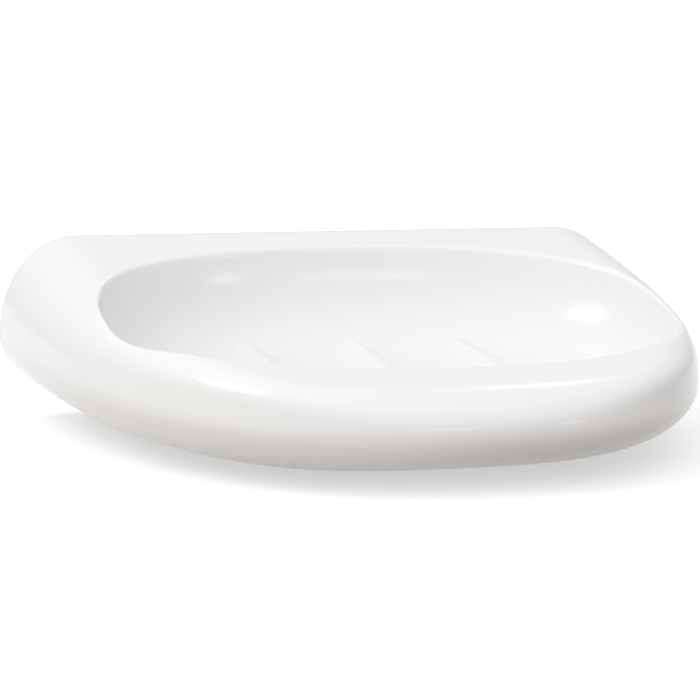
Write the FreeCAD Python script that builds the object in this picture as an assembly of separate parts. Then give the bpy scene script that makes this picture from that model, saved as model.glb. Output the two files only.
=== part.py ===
import FreeCAD, Part
import math
import os

# Wall-hung ceramic soap dish with its hidden fixing.
# Millimetres. X runs along the wall, +Y goes into the wall and +Z is up. The wall's face is y = 0.
# The model is built up from the dish's underside and saved with its origin on the screw line.

os.makedirs("parts", exist_ok=True)
Vector = FreeCAD.Vector

# Dish, outside: three ovals, at the top, the belly and the base, each cut by the wall
# Widths are at the wall and the ovals' common centre lies behind it, so the sides draw in from the wall on
dish_width = 150.0
dish_depth = 115.5
oval_setback = 18.0
back_height = 39.9
belly_height = 19.0
top_slope = math.tan(math.radians(10.4))
belly_slope = math.tan(math.radians(2.4))
shoulder_side = 18.0
shoulder_front = 7.5
tuck_side = 34.0
tuck_front = 37.5
top_power = 3.9
belly_power = 2.55
base_power = 3.3
shoulder_power = 2.1
flank_power = 2.3
shoulder_rings = 6
flank_rings = 8
oval_points = 40

# Dish, basin
back_strip = 12.0
front_rim = 21.0
side_rim = 12.3
basin_power = 2.4
basin_wall_inset = 34.0
basin_wall_power = 3.0
basin_rings = 8
floor_height = 12.8
floor_slope = math.tan(math.radians(4.0))

# Ribs on the basin's floor
rib_count = 3
rib_pitch = 24.5
rib_height = 2.6
rib_width = 10.0
rib_crest_radius = 1.0
rib_root_depth = 4.0
rib_end_margin = 5.0

# Wall bracket, a bent sheet
sheet = 1.5
bend_radius = 1.2
bracket_width = 66.0
bracket_height = 18.0
upper_flange = 6.5
lower_flange = 13.0
screw_spacing = 44.0
slot_length = 3.0
flange_corner = 3.0

# Pocket in the dish's back
pocket_floor = 7.0
pocket_under_gap = 2.5
pocket_side_gap = 3.0
pocket_front_gap = 1.6
pocket_corner = 3.0

# Rubber strips between the upper flange and the pocket's roof
strip_length = 14.0
strip_width = 3.4
strip_thickness = 1.0
strip_spacing = 42.0
strip_gap = 0.1

# Wall screws, washers and plugs, which are set behind the wall tile so that it can't split
screw_diameter = 4.0
screw_length = 40.0
screw_point = 5.0
head_diameter = 7.6
head_height = 2.4
recess_length = 4.4
recess_width = 0.9
recess_depth = 1.3
washer_diameter = 9.6
washer_thickness = 0.8
hole_clearance = 0.25
plug_diameter = 6.0
plug_setback = 8.0
plug_length = 30.0
plug_nose = 3.0
plug_slot = 1.0
plug_slot_length = 20.0
plug_bore_gap = 0.1

# Lock screw and its bush
lock_diameter = 4.0
lock_length = 8.0
lock_chamfer = 0.5
lock_cup = 0.8
hex_key = 2.0
hex_depth = 2.5
thread_gap = 0.05
bush_diameter = 7.0
bush_setback = 7.5
bush_recess = 0.6
bush_collar_diameter = 8.0
bush_collar = 0.8
cement_gap = 0.05
tip_gap = 0.1

# Cuts run past the faces they open
overrun = 5.0

# Places worked out from the sizes above
half_width = dish_width / 2
basin_length = dish_depth - back_strip - front_rim
basin_centre = -(back_strip + basin_length / 2)
basin_half_width = half_width - side_rim
basin_half_length = basin_length / 2
bracket_bottom = pocket_floor + pocket_under_gap
bracket_top = bracket_bottom + bracket_height
screw_line = (bracket_bottom + bracket_top) / 2
pocket_roof = bracket_top + strip_thickness + strip_gap
screw_places = (-screw_spacing / 2, screw_spacing / 2)


def save(shape, node):
    """Write one sub-part with its origin moved to the screw line on the wall."""
    placed = shape.copy()
    placed.translate(Vector(0, 0, -screw_line))
    placed.exportStep(f"parts/{node}.step")
    print(node, len(placed.Solids), "solids", round(placed.Volume), "mm3", placed.isValid())


def oval(width, length, power, height, slope, centre):
    """Closed oval of the given half sizes, on a plane that tilts about the wall line."""
    points = []
    for step in range(oval_points):
        angle = 2 * math.pi * step / oval_points
        across = abs(math.cos(angle) / width) ** power
        along = abs(math.sin(angle) / length) ** power
        reach = (across + along) ** (-1 / power)
        y = centre + reach * math.sin(angle)
        points.append(Vector(reach * math.cos(angle), y, height + slope * y))
    curve = Part.BSplineCurve()
    curve.interpolate(Points=points, PeriodicFlag=True)
    return Part.Wire([curve.toShape()])


def wall_oval(width, depth, power, height, slope):
    """Oval with the given half width at the wall and the given depth in front of it."""
    length = depth + oval_setback
    widest = width / (1 - (oval_setback / length) ** power) ** (1 / power)
    return oval(widest, length, power, height, slope, oval_setback)


def quarter(step, count, power):
    """Share of the run and share of the rise at one step of a quarter turn of an oval profile."""
    angle = math.pi / 2 * step / count
    reach = (math.cos(angle) ** power + math.sin(angle) ** power) ** (-1 / power)
    return 1 - reach * math.cos(angle), reach * math.sin(angle)


def between(first, last, share):
    return first + (last - first) * share


def outside():
    """The dish before hollowing: a loft from the base up over the belly to the top, cut by the wall."""
    rings = []
    for step in range(flank_rings, 0, -1):
        run, drop = quarter(step, flank_rings, flank_power)
        width = half_width - tuck_side * run
        depth = dish_depth - tuck_front * run
        power = between(belly_power, base_power, run)
        rings.append(wall_oval(width, depth, power, belly_height * (1 - drop), belly_slope * (1 - drop)))
    for step in range(shoulder_rings + 1):
        run, rise = quarter(step, shoulder_rings, shoulder_power)
        width = half_width - shoulder_side * run
        depth = dish_depth - shoulder_front * run
        power = between(belly_power, top_power, run)
        height = between(belly_height, back_height, rise)
        rings.append(wall_oval(width, depth, power, height, between(belly_slope, top_slope, rise)))
    body = Part.makeLoft(rings, True)
    room = dish_depth + overrun
    front = Part.makeBox(2 * room, room, 2 * room, Vector(-room, -room, -room))
    return body.common(front)


def basin():
    """The space that is sunk into the top: straight at the edge, then a bowl down to a flat floor."""
    floor_at_wall = floor_height - floor_slope * basin_centre
    rings = []
    for rise in (2 * overrun, overrun):
        rings.append(oval(basin_half_width, basin_half_length, basin_power,
                          back_height + rise, top_slope, basin_centre))
    for step in range(basin_rings + 1):
        run, drop = quarter(step, basin_rings, basin_wall_power)
        rings.append(oval(basin_half_width - basin_wall_inset * run,
                          basin_half_length - basin_wall_inset * run,
                          basin_power,
                          between(back_height, floor_at_wall, drop),
                          between(top_slope, floor_slope, drop),
                          basin_centre))
    return Part.makeLoft(rings, True)


def rib(place):
    """One rib: a ridge with a round crest, laid along the floor and dying out in the walls of the bowl."""
    half = rib_width / 2
    crest = rib_height - rib_crest_radius
    turn = math.atan2(-crest, half) + math.acos(rib_crest_radius / math.hypot(half, crest))
    side = rib_crest_radius * math.cos(turn)
    rise = crest + rib_crest_radius * math.sin(turn)
    start = -(back_strip + rib_end_margin)
    base = floor_height + floor_slope * (start - basin_centre)

    def at(across, up):
        return Vector(place + across, start, base + up)

    flanks = [at(-side, rise), at(-half, 0), at(-half, -rib_root_depth),
              at(half, -rib_root_depth), at(half, 0), at(side, rise)]
    edges = Part.makePolygon(flanks).Edges
    edges.append(Part.Arc(at(side, rise), at(0, rib_height), at(-side, rise)).toShape())
    length = basin_length - 2 * rib_end_margin
    return Part.Face(Part.Wire(edges)).extrude(Vector(0, -length, -floor_slope * length))


def pocket():
    """Space for the bracket: deeper at its floor than at its roof, with rounded corners at the blind end."""
    half = bracket_width / 2 + pocket_side_gap
    profile = [Vector(-half, overrun, pocket_floor),
               Vector(-half, -(lower_flange + pocket_front_gap), pocket_floor),
               Vector(-half, -(upper_flange + pocket_front_gap), pocket_roof),
               Vector(-half, overrun, pocket_roof)]
    block = Part.Face(Part.makePolygon(profile + profile[:1])).extrude(Vector(2 * half, 0, 0))
    blind = [edge for edge in block.Edges if edge.BoundBox.YMax < 0]
    return block.makeFillet(pocket_corner, blind)


def rod(diameter, length, bottom):
    """Upright cylinder on the lock screw's axis."""
    return Part.makeCylinder(diameter / 2, length, Vector(0, -bush_setback, bottom))


def dish():
    body = outside().cut(basin())
    middle = (rib_count - 1) / 2
    for number in range(rib_count):
        body = body.fuse(rib((number - middle) * rib_pitch))
    body = body.cut(pocket())
    return body.cut(rod(bush_diameter + 2 * cement_gap, pocket_floor + overrun, -overrun))


def bracket():
    """Bent sheet: a web on the wall, a short flange above and a long one below for the lock screw."""
    half = bracket_width / 2
    profile = [(0, bracket_bottom), (-lower_flange, bracket_bottom), (-lower_flange, bracket_bottom + sheet),
               (-sheet, bracket_bottom + sheet), (-sheet, bracket_top - sheet), (-upper_flange, bracket_top - sheet),
               (-upper_flange, bracket_top), (0, bracket_top)]
    points = [Vector(-half, y, z) for y, z in profile]
    body = Part.Face(Part.makePolygon(points + points[:1])).extrude(Vector(bracket_width, 0, 0))

    def bends(depth):
        long_edges = [edge for edge in body.Edges if edge.BoundBox.XLength > sheet]
        return [edge for edge in long_edges if abs(edge.BoundBox.Center.y + depth) < sheet / 4
                and edge.BoundBox.YLength < sheet / 4]

    body = body.makeFillet(bend_radius + sheet, bends(0))
    body = body.makeFillet(bend_radius, bends(sheet))
    corners = [edge for edge in body.Edges if edge.BoundBox.ZLength > sheet / 2
               and edge.BoundBox.XLength < sheet / 4 and edge.BoundBox.YMax < -bend_radius - 2 * sheet]
    body = body.makeFillet(flange_corner, corners)
    for place, along in zip(screw_places, (Vector(1, 0, 0), Vector(0, 0, 1))):
        body = body.cut(slot(place, along))
    return body


def slot(place, along):
    """Long hole through the bracket's web, so that the bracket can be set level."""
    radius = screw_diameter / 2 + hole_clearance
    reach = along * (slot_length / 2)
    centre = Vector(place, overrun, screw_line)
    depth = Vector(0, -2 * overrun, 0)
    side = along.cross(Vector(0, 1, 0)) * radius
    ends = [centre + reach, centre - reach]
    edges = [Part.makeLine(ends[0] + side, ends[1] + side),
             Part.Arc(ends[1] + side, ends[1] - along * radius, ends[1] - side).toShape(),
             Part.makeLine(ends[1] - side, ends[0] - side),
             Part.Arc(ends[0] - side, ends[0] + along * radius, ends[0] + side).toShape()]
    return Part.Face(Part.Wire(edges)).extrude(depth)


def turned(profile, place):
    """Body of revolution about a screw's axis: profile points are radius and depth into the wall."""
    points = [Vector(radius, depth, 0) for radius, depth in profile]
    face = Part.Face(Part.makePolygon(points + points[:1]))
    body = face.revolve(Vector(0, 0, 0), Vector(0, 1, 0), 360)
    body.translate(Vector(place, 0, screw_line))
    return body


def wall_screw(place):
    """Pan-head screw with a cross recess."""
    seat = -(sheet + washer_thickness)
    radius = screw_diameter / 2
    end = seat + screw_length
    body = turned([(0, seat - head_height), (head_diameter / 2, seat - head_height), (head_diameter / 2, seat),
                   (radius, seat), (radius, end - screw_point), (0, end)], place)
    rim = [edge for edge in body.Edges if abs(edge.BoundBox.YMax - (seat - head_height)) < recess_depth / 2]
    body = body.makeFillet(head_height / 2, rim)
    for width, height in ((recess_length, recess_width), (recess_width, recess_length)):
        corner = Vector(place - width / 2, seat - head_height - overrun, screw_line - height / 2)
        body = body.cut(Part.makeBox(width, overrun + recess_depth, height, corner))
    return body


def washer(place):
    hole = screw_diameter / 2 + hole_clearance
    rim = washer_diameter / 2
    return turned([(hole, -sheet - washer_thickness), (rim, -sheet - washer_thickness),
                   (rim, -sheet), (hole, -sheet)], place)


def wall_plug(place):
    """Nylon plug with a bore for the screw, a tapered nose and a slit that lets it spread."""
    bore = screw_diameter / 2 + plug_bore_gap
    rim = plug_diameter / 2
    end = plug_setback + plug_length
    body = turned([(bore, plug_setback), (rim, plug_setback), (rim, end - plug_nose),
                   ((bore + rim) / 2, end), (bore, end)], place)
    corner = Vector(place - plug_diameter, end - plug_slot_length, screw_line - plug_slot / 2)
    return body.cut(Part.makeBox(2 * plug_diameter, plug_length, plug_slot, corner))


def lock_bush():
    """Brass bush with a collar that stops it at the pocket's floor."""
    body = rod(bush_diameter, pocket_floor - bush_recess, bush_recess)
    body = body.fuse(rod(bush_collar_diameter, bush_collar, pocket_floor)).removeSplitter()
    return body.cut(rod(lock_diameter + 2 * thread_gap, pocket_floor + 2 * overrun, -overrun))


def lock_screw():
    """Grub screw with a cup point above and a hexagon socket below."""
    tip = bracket_bottom - tip_gap
    body = rod(lock_diameter, lock_length, tip - lock_length)
    body = body.makeChamfer(lock_chamfer, [edge for edge in body.Edges if edge.Closed])
    mouth = lock_diameter / 2 - lock_chamfer - thread_gap
    cup = Part.makeCone(0, mouth, lock_cup, Vector(0, -bush_setback, tip - lock_cup))
    corners = []
    for number in range(7):
        angle = math.radians(60 * number)
        reach = hex_key / math.sqrt(3)
        corners.append(Vector(reach * math.cos(angle), reach * math.sin(angle) - bush_setback, tip - lock_length))
    socket = Part.Face(Part.makePolygon(corners)).extrude(Vector(0, 0, hex_depth))
    return body.cut(cup).cut(socket)


def rubber_strip(place):
    """Strip on the flat of the upper flange, which keeps the glaze off the steel."""
    flat = bend_radius + sheet
    corner = Vector(place - strip_length / 2, -(flat + upper_flange + strip_width) / 2, bracket_top)
    return Part.makeBox(strip_length, strip_width, strip_thickness, corner)


save(dish(), "dish")
save(bracket(), "wall_bracket")
save(Part.makeCompound([wall_screw(place) for place in screw_places]), "wall_screws")
save(Part.makeCompound([washer(place) for place in screw_places]), "screw_washers")
save(Part.makeCompound([wall_plug(place) for place in screw_places]), "wall_plugs")
save(lock_bush(), "lock_bush")
save(lock_screw(), "lock_screw")
save(Part.makeCompound([rubber_strip(side * strip_spacing / 2) for side in (-1, 1)]), "rubber_strips")
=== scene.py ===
# %% [markdown]
# A wall-hung soap dish in white glazed ceramic, dressed for its picture. The CAD model gives the places and
# the sizes. It could be imported and moved about like any mesh, but then its motion would no longer fit. So
# it is loaded as a frame that stays still, and every piece made here goes where the frame says, in metres: X
# along the wall, Y into the wall, Z up.

import math

import bmesh
import bpy
import numpy as np
from mathutils import Matrix, Vector


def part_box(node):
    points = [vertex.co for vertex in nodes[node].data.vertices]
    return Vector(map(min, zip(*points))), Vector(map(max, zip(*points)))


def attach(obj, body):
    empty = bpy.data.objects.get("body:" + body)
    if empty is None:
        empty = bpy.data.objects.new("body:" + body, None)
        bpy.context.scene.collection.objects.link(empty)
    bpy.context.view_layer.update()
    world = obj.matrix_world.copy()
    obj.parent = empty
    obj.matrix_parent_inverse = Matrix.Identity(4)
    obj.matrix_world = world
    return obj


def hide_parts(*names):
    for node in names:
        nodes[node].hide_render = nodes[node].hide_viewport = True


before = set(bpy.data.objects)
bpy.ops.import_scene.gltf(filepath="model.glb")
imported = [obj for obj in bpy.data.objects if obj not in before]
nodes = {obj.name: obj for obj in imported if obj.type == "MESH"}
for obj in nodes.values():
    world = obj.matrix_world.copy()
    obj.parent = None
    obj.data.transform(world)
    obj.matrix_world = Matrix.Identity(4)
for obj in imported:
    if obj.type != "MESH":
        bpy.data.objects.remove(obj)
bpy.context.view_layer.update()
MM = 0.001
print("nodes:", ", ".join(sorted(nodes)))

# %% [markdown]
# The camera comes first, because every choice after it is judged through it. It could be placed by hand in
# the viewport, but numbers can be compared and set again. A long lens close to the front, a little to the
# left and a little above, gives the flat, calm look of a catalogue picture. The small shift only moves the
# dish within the square.

# %% Camera
CAMERA_TURN = math.radians(-18.46)
CAMERA_RISE = math.radians(8.32)
CAMERA_ROLL = math.radians(0.94)
CAMERA_DISTANCE = 0.5895
CAMERA_AIM = Vector((0, -0.050, 0.0015))
LENS = 141.0
SHIFT = (-0.0552, -0.0040)
NEAREST = 0.01


def stand(name, data, aim, turn, rise, distance, roll=0.0):
    """Puts a camera or a lamp where it looks at a point, turned to the right of the front and raised."""
    item = bpy.data.objects.new(name, data)
    bpy.context.scene.collection.objects.link(item)
    level = math.cos(rise)
    away = Vector((math.sin(turn) * level, -math.cos(turn) * level, math.sin(rise)))
    facing = (-away).to_track_quat("-Z", "Y").to_matrix()
    item.location = aim + away * distance
    item.rotation_euler = (facing @ Matrix.Rotation(roll, 3, "Z")).to_euler()
    return item


lens = bpy.data.cameras.new("camera")
lens.lens = LENS
lens.shift_x, lens.shift_y = SHIFT
lens.clip_start = NEAREST
camera = stand("camera", lens, CAMERA_AIM, CAMERA_TURN, CAMERA_RISE, CAMERA_DISTANCE, CAMERA_ROLL)
bpy.context.scene.camera = camera
print("camera stands", round(CAMERA_DISTANCE / MM), "mm from the dish")

# %% [markdown]
# A shader is a web of nodes, and it could be drawn box by box. Sums are easier to read as sums. This small
# class wraps one socket. Python's operators on it add Math nodes, and its method called node adds any other
# one: first the settings are made, then the sockets are filled or linked.

# %% Shader sums
class Wire:
    """One output of a node, which takes part in sums. Without a socket it only knows its tree."""

    def __init__(self, tree, socket=None):
        self.tree = tree
        self.socket = socket

    def node(self, kind, settings=None, sockets=None, out=0):
        """Adds a node, makes its settings, fills or links its sockets and wraps one of its outputs."""
        made = self.tree.nodes.new(kind)
        for name, value in (settings or {}).items():
            setattr(made, name, value)
        for name, value in (sockets or {}).items():
            if isinstance(value, Wire):
                self.tree.links.new(value.socket, made.inputs[name])
            else:
                made.inputs[name].default_value = value
        return Wire(self.tree, made.outputs[out] if made.outputs else None)

    def also(self, out):
        """Another output of the same node."""
        return Wire(self.tree, self.socket.node.outputs[out])

    def maths(self, operation, first, second=0.0):
        return self.node("ShaderNodeMath", {"operation": operation}, {0: first, 1: second})

    def vectors(self, operation, second=(0, 0, 0), out=0):
        return self.node("ShaderNodeVectorMath", {"operation": operation}, {0: self, 1: second}, out)

    def larger(self, other):
        return self.maths("MAXIMUM", self, other)

    def __add__(self, other):
        return self.maths("ADD", self, other)

    def __radd__(self, other):
        return self.maths("ADD", other, self)

    def __sub__(self, other):
        return self.maths("SUBTRACT", self, other)

    def __rsub__(self, other):
        return self.maths("SUBTRACT", other, self)

    def __mul__(self, other):
        return self.maths("MULTIPLY", self, other)

    def __rmul__(self, other):
        return self.maths("MULTIPLY", other, self)


print("shader sums ready")

# %% [markdown]
# Every finish below needs the same few tools: a mask with a soft edge, a colour between two colours, random
# marks, and a relief. Each could be copied into every material. As functions they keep the recipes short.

# %% Finish helpers
SOFT_SPAN = (0.35, 0.65)
WIDE_SPAN = (0.3, 0.7)
SOFT, FINE = 1.0, 3.0


def between(first, last, share):
    """Part of the way from one value to another, for numbers and for wires."""
    return first + (last - first) * share


def ramp(value, start, end):
    """0 below start, 1 above end, and a straight slope between them."""
    sockets = {"Value": value, "From Min": start, "From Max": end}
    return value.node("ShaderNodeMapRange", {"clamp": True}, sockets)


def mix(share, first, second):
    """A colour between two colours."""
    return share.node("ShaderNodeMix", {"data_type": "RGBA"}, {0: share, 6: first, 7: second}, out=2)


def noise(place, scale, detail=2.0):
    """Soft random marks, a number of them to the metre."""
    return place.node("ShaderNodeTexNoise", {}, {"Vector": place, "Scale": scale, "Detail": detail})


def new_finish(name):
    """A material, its shader, and a wire that carries the place on the object."""
    material = bpy.data.materials.new(name)
    material.use_nodes = True
    tree = material.node_tree
    return material, tree.nodes["Principled BSDF"], Wire(tree).node("ShaderNodeTexCoord", out="Object")


def feed(shader, name, wire):
    """Links a wire to a socket of the shader."""
    wire.tree.links.new(wire.socket, shader.inputs[name])


def relief(shader, height, depth):
    """Bump: a height from 0 to 1 that stands for a real depth in millimetres."""
    feed(shader, "Normal", height.node("ShaderNodeBump", {}, {"Height": height, "Distance": depth * MM}))


print("finish helpers ready")

# %% [markdown]
# Glaze is wiped off where the dish meets the wall, and none gets into the pocket behind, so warm bare clay
# shows there. The faces could be picked out and given a second material, but then the line between the two
# would be as hard as the mesh. A mask from the place on the dish gives the soft line of a wiped edge.

# %% Bare clay
POCKET_HALF_WIDTH = 36.0
POCKET_FLOOR, POCKET_ROOF = -11.5, 10.1
POCKET_LOW_DEPTH, POCKET_HIGH_DEPTH = 14.6, 8.1
POCKET_LEAN = (POCKET_LOW_DEPTH - POCKET_HIGH_DEPTH) / (POCKET_ROOF - POCKET_FLOOR)
WIPED_TO = 0.2
SOFT_LINE = 0.4


def beyond(value, edge):
    """Mask that turns on along a soft line, once a length is more than an edge in millimetres."""
    return ramp(value, (edge - SOFT_LINE) * MM, edge * MM)


glaze, shader, place = new_finish("glaze")
across = place.node("ShaderNodeSeparateXYZ", {}, {0: place}, out="X")
inward, upward = across.also("Y"), across.also("Z")
off_middle = across.maths("ABSOLUTE", across)
wiped = beyond(inward, -WIPED_TO)
pocket_front = inward - POCKET_LEAN * upward
in_pocket = (
    beyond(pocket_front, -POCKET_LOW_DEPTH - POCKET_LEAN * POCKET_FLOOR - WIPED_TO)
    * beyond(upward, POCKET_FLOOR - WIPED_TO)
    * (1 - beyond(upward, POCKET_ROOF + WIPED_TO + SOFT_LINE))
    * (1 - beyond(off_middle, POCKET_HALF_WIDTH + WIPED_TO + SOFT_LINE))
)
bare = wiped.larger(in_pocket)
print("clay is bare from", WIPED_TO, "mm before the wall")

# %% [markdown]
# The glaze is a layer of white glass, about half a millimetre thick, over fired clay. A plain glossy white
# would look like plastic. Real glaze pools a little cooler in places and has the faint ripple of a dipped
# coat, so the colour drifts and the gloss is broken by two sizes of soft relief.

# %% Glaze
GLAZE_COOL, GLAZE_WARM = (0.875, 0.878, 0.893, 1), (0.89, 0.887, 0.878, 1)
CLAY, CLAY_DARK = (0.74, 0.68, 0.59, 1), (0.66, 0.60, 0.51, 1)
TONE_SCALE, RIPPLE_SCALE, PEEL_SCALE, GRIT_SCALE = 22.0, 55.0, 420.0, 2600.0
PEEL_SHARE = 0.2
GLAZE_ROUGH, GLAZE_DRIFT, CLAY_ROUGH = 0.17, 0.05, 0.75
COAT_WEIGHT, COAT_ROUGH, GLASS_IOR = 0.3, 0.15, 1.5
GLAZE_RELIEF = 0.06

tone = ramp(noise(place, TONE_SCALE), *SOFT_SPAN)
grit = noise(place, GRIT_SCALE, FINE)
ripple = between(noise(place, RIPPLE_SCALE, SOFT), noise(place, PEEL_SCALE, SOFT), PEEL_SHARE)
coat_colour = mix(tone, GLAZE_COOL, GLAZE_WARM)
clay_colour = mix(ramp(grit, *WIDE_SPAN), CLAY, CLAY_DARK)
feed(shader, "Base Color", mix(bare, coat_colour, clay_colour))
feed(shader, "Roughness", between(GLAZE_ROUGH + GLAZE_DRIFT * tone, CLAY_ROUGH, bare))
feed(shader, "Coat Weight", COAT_WEIGHT * (1 - bare))
shader.inputs["Coat Roughness"].default_value = COAT_ROUGH
shader.inputs["IOR"].default_value = GLASS_IOR
relief(shader, between(ripple, grit, bare), GLAZE_RELIEF)
print("glaze has", len(glaze.node_tree.nodes), "nodes")

# %% [markdown]
# The dish is one smooth form with no straight line but its back. It could be pulled out of a subdivided block
# by hand, but then no size would be known. So it is drawn by rule. Three ovals give the outside: a broad one
# at the belly, a squarer one at the top and a small one at the base, all cut off by the wall. Sizes are in
# millimetres above the underside, as on the drawing.

# %% Sizes of the dish
dish_low, dish_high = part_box("dish")
UNDERSIDE = dish_low.z / MM
HALF_WIDTH = dish_high.x / MM
DEPTH = -dish_low.y / MM
BACK_HEIGHT = (dish_high.z - dish_low.z) / MM
SETBACK = 18.0
BELLY_HEIGHT = 18.3
TOP_SLOPE = math.tan(math.radians(10.4))
BELLY_SLOPE = math.tan(math.radians(2.6))
SHOULDER_SIDE, SHOULDER_FRONT = 18.0, 10.5
TUCK_SIDE, TUCK_FRONT = 39.5, 43.0
TOP_POWER, BELLY_POWER, BASE_POWER = 3.9, 2.55, 3.55
SHOULDER_POWER, FLANK_POWER = 2.1, 2.0
BASIN_HALF_WIDTH, BASIN_HALF_LENGTH, BASIN_CENTRE = 62.7, 41.25, -53.25
BASIN_POWER, WALL_INSET, WALL_POWER = 2.4, 34.0, 3.0
FLOOR_HEIGHT = 12.8
FLOOR_SLOPE = math.tan(math.radians(4.0))
FLOOR_AT_WALL = FLOOR_HEIGHT - FLOOR_SLOPE * BASIN_CENTRE
print("dish", round(2 * HALF_WIDTH, 1), "by", round(DEPTH, 1), "by", round(BACK_HEIGHT, 1), "mm")

# %% [markdown]
# An oval with a power of 2 is an ellipse, and the higher the power, the squarer it gets. One rule covers both
# the round belly and the nearly straight top edge. Some of its questions have no neat answer, such as where a
# slanted line leaves it. A search by halves answers all of them alike, for a whole row of points at once.

# %% Ovals
HALVINGS = 40


def rounded(run, power):
    """How far a rounded edge has risen, from 0 to 1, after a share of its run."""
    return (1 - (1 - run) ** power) ** (1 / power)


def wall_oval(width, depth, power):
    """Half width, half length, power and centre of an oval that is cut by the wall."""
    length = depth + SETBACK
    widest = width / (1 - (SETBACK / length) ** power) ** (1 / power)
    return widest, length, power, SETBACK


def inside(x, y, oval):
    half_width, half_length, power, centre = oval
    return np.abs(x / half_width) ** power + np.abs((y - centre) / half_length) ** power < 1


def search(test, low, high):
    """Where a test stops being true between two values."""
    for _ in range(HALVINGS):
        middle = (low + high) / 2
        true = test(middle)
        low = np.where(true, middle, low)
        high = np.where(true, high, middle)
    return low


print("ovals ready,", HALVINGS, "halvings to a search")

# %% [markdown]
# The top is flat in the middle and rolls over at the shoulder, and the basin is the same thing turned inside
# out. To know a height anywhere, the script looks for the ring that passes through that point: the further in
# the ring, the higher the top and the deeper the basin. A bevel on a flat top would be quicker, but can't
# widen from front to side.

# %% Height of the top and of the basin
def shoulder_ring(run):
    width = HALF_WIDTH - SHOULDER_SIDE * run
    depth = DEPTH - SHOULDER_FRONT * run
    return wall_oval(width, depth, between(BELLY_POWER, TOP_POWER, run))


def basin_ring(run):
    inset = WALL_INSET * run
    return BASIN_HALF_WIDTH - inset, BASIN_HALF_LENGTH - inset, BASIN_POWER, BASIN_CENTRE


def run_to(x, y, ring):
    """How far in the ring lies that passes through each point."""
    return search(lambda run: inside(x, y, ring(run)), np.zeros_like(x), np.ones_like(x))


def top_height(x, y):
    rise = rounded(run_to(x, y, shoulder_ring), SHOULDER_POWER)
    return between(BELLY_HEIGHT, BACK_HEIGHT, rise) + between(BELLY_SLOPE, TOP_SLOPE, rise) * y


def bowl_height(drop, y):
    return between(BACK_HEIGHT, FLOOR_AT_WALL, drop) + between(TOP_SLOPE, FLOOR_SLOPE, drop) * y


def basin_height(x, y):
    return bowl_height(rounded(run_to(x, y, basin_ring), WALL_POWER), y)


basin_middle = basin_height(np.array([0.0]), np.array([BASIN_CENTRE]))
print("basin floor", round(float(basin_middle[0]), 1), "mm above the underside")

# %% [markdown]
# Three low ribs keep the soap out of the wet. They could be separate bars, but on the real dish they are part
# of the mould and melt into the floor. So the rib is a height too. Where it is higher than the floor it wins,
# and close to the joint the two are blended, which gives the soft hollow line that glaze leaves at a root.

# %% Ribs
RIB_PLACES = (-24.5, 0.0, 24.5)
RIB_HEIGHT = 3.0
RIB_SPREAD = 4.3
RIB_CREST = 0.9
RIB_BLEND = 0.8


def soft_max(first, second, blend):
    closeness = np.clip(blend - np.abs(first - second), 0, None) / blend
    return np.maximum(first, second) + closeness ** 2 * blend / 4


def floor_with_ribs(x, y):
    height = basin_height(x, y)
    base = FLOOR_AT_WALL + FLOOR_SLOPE * y
    for rib in RIB_PLACES:
        off = np.sqrt((x - rib) ** 2 + RIB_CREST ** 2) - RIB_CREST
        height = soft_max(height, base + RIB_HEIGHT * np.exp(-off / RIB_SPREAD), RIB_BLEND)
    return height


print(len(RIB_PLACES), "ribs,", RIB_HEIGHT, "mm high")

# %% [markdown]
# Next, the directions in which the mesh is laid out, seen from above the basin's middle. An even grid would
# step along every curve. Rings with spokes follow the form instead. The spokes are closer together where a
# rib ends, because they become straight columns over the basin's floor, and a rib needs columns along its
# crest to stay crisp.

# %% Spokes
FLOOR_RUN = 0.30
SPOKE_STEP, RIB_STEP = 1.5, 0.42
RIB_REACH = 6.0
FINE_STEPS = 20001


def basin_reach(angles, run):
    """How far a ring of the basin lies from its middle, at each angle."""
    half_width, half_length, power, _ = basin_ring(run)
    wide = np.abs(np.cos(angles) / half_width) ** power
    long = np.abs(np.sin(angles) / half_length) ** power
    return (wide + long) ** (-1 / power)


edge_width, edge_length = basin_ring(FLOOR_RUN)[:2]
fine = np.linspace(0, math.pi, FINE_STEPS)
edge_reach = basin_reach(fine, FLOOR_RUN)
edge_x, edge_y = edge_reach * np.cos(fine), edge_reach * np.sin(fine)
near_rib = np.min([np.abs(edge_x - rib) for rib in RIB_PLACES], axis=0) < RIB_REACH
stride = np.hypot(np.diff(edge_x), np.diff(edge_y)) / np.where(near_rib, RIB_STEP, SPOKE_STEP)[1:]
travel = np.concatenate([[0], np.cumsum(stride)])
count = 2 * round(travel[-1] / 2)
columns = np.interp(np.linspace(0, travel[-1], count + 1), travel, edge_x)
for rib in RIB_PLACES:
    columns[np.argmin(np.abs(columns - rib))] = rib
columns[0], columns[-1] = edge_width, -edge_width
back_edge = edge_length * (1 - np.abs(columns / edge_width) ** BASIN_POWER) ** (1 / BASIN_POWER)
back_half = np.arctan2(back_edge, columns)
spokes = np.concatenate([back_half, -back_half[-2:0:-1]])
print(len(spokes), "spokes,", len(columns), "columns")

# %% [markdown]
# Now the rings, from the base up. The flank turns under like a pebble, so its profile is a quarter of a
# round, lying on its side, from the small base to the broad belly. Even steps along the turn, and not along
# the height, keep the faces even where the flank runs out flat under the dish.

# %% Flank
FLANK_STEPS = 26
FARTHEST = 300.0


def on_spokes(reach):
    """Places at a given reach along every spoke."""
    return reach * np.cos(spokes), BASIN_CENTRE + reach * np.sin(spokes)


def reach_of(oval):
    """How far along every spoke an oval lies."""
    far = np.full_like(spokes, FARTHEST)
    return search(lambda reach: inside(*on_spokes(reach), oval), np.zeros_like(spokes), far)


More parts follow.
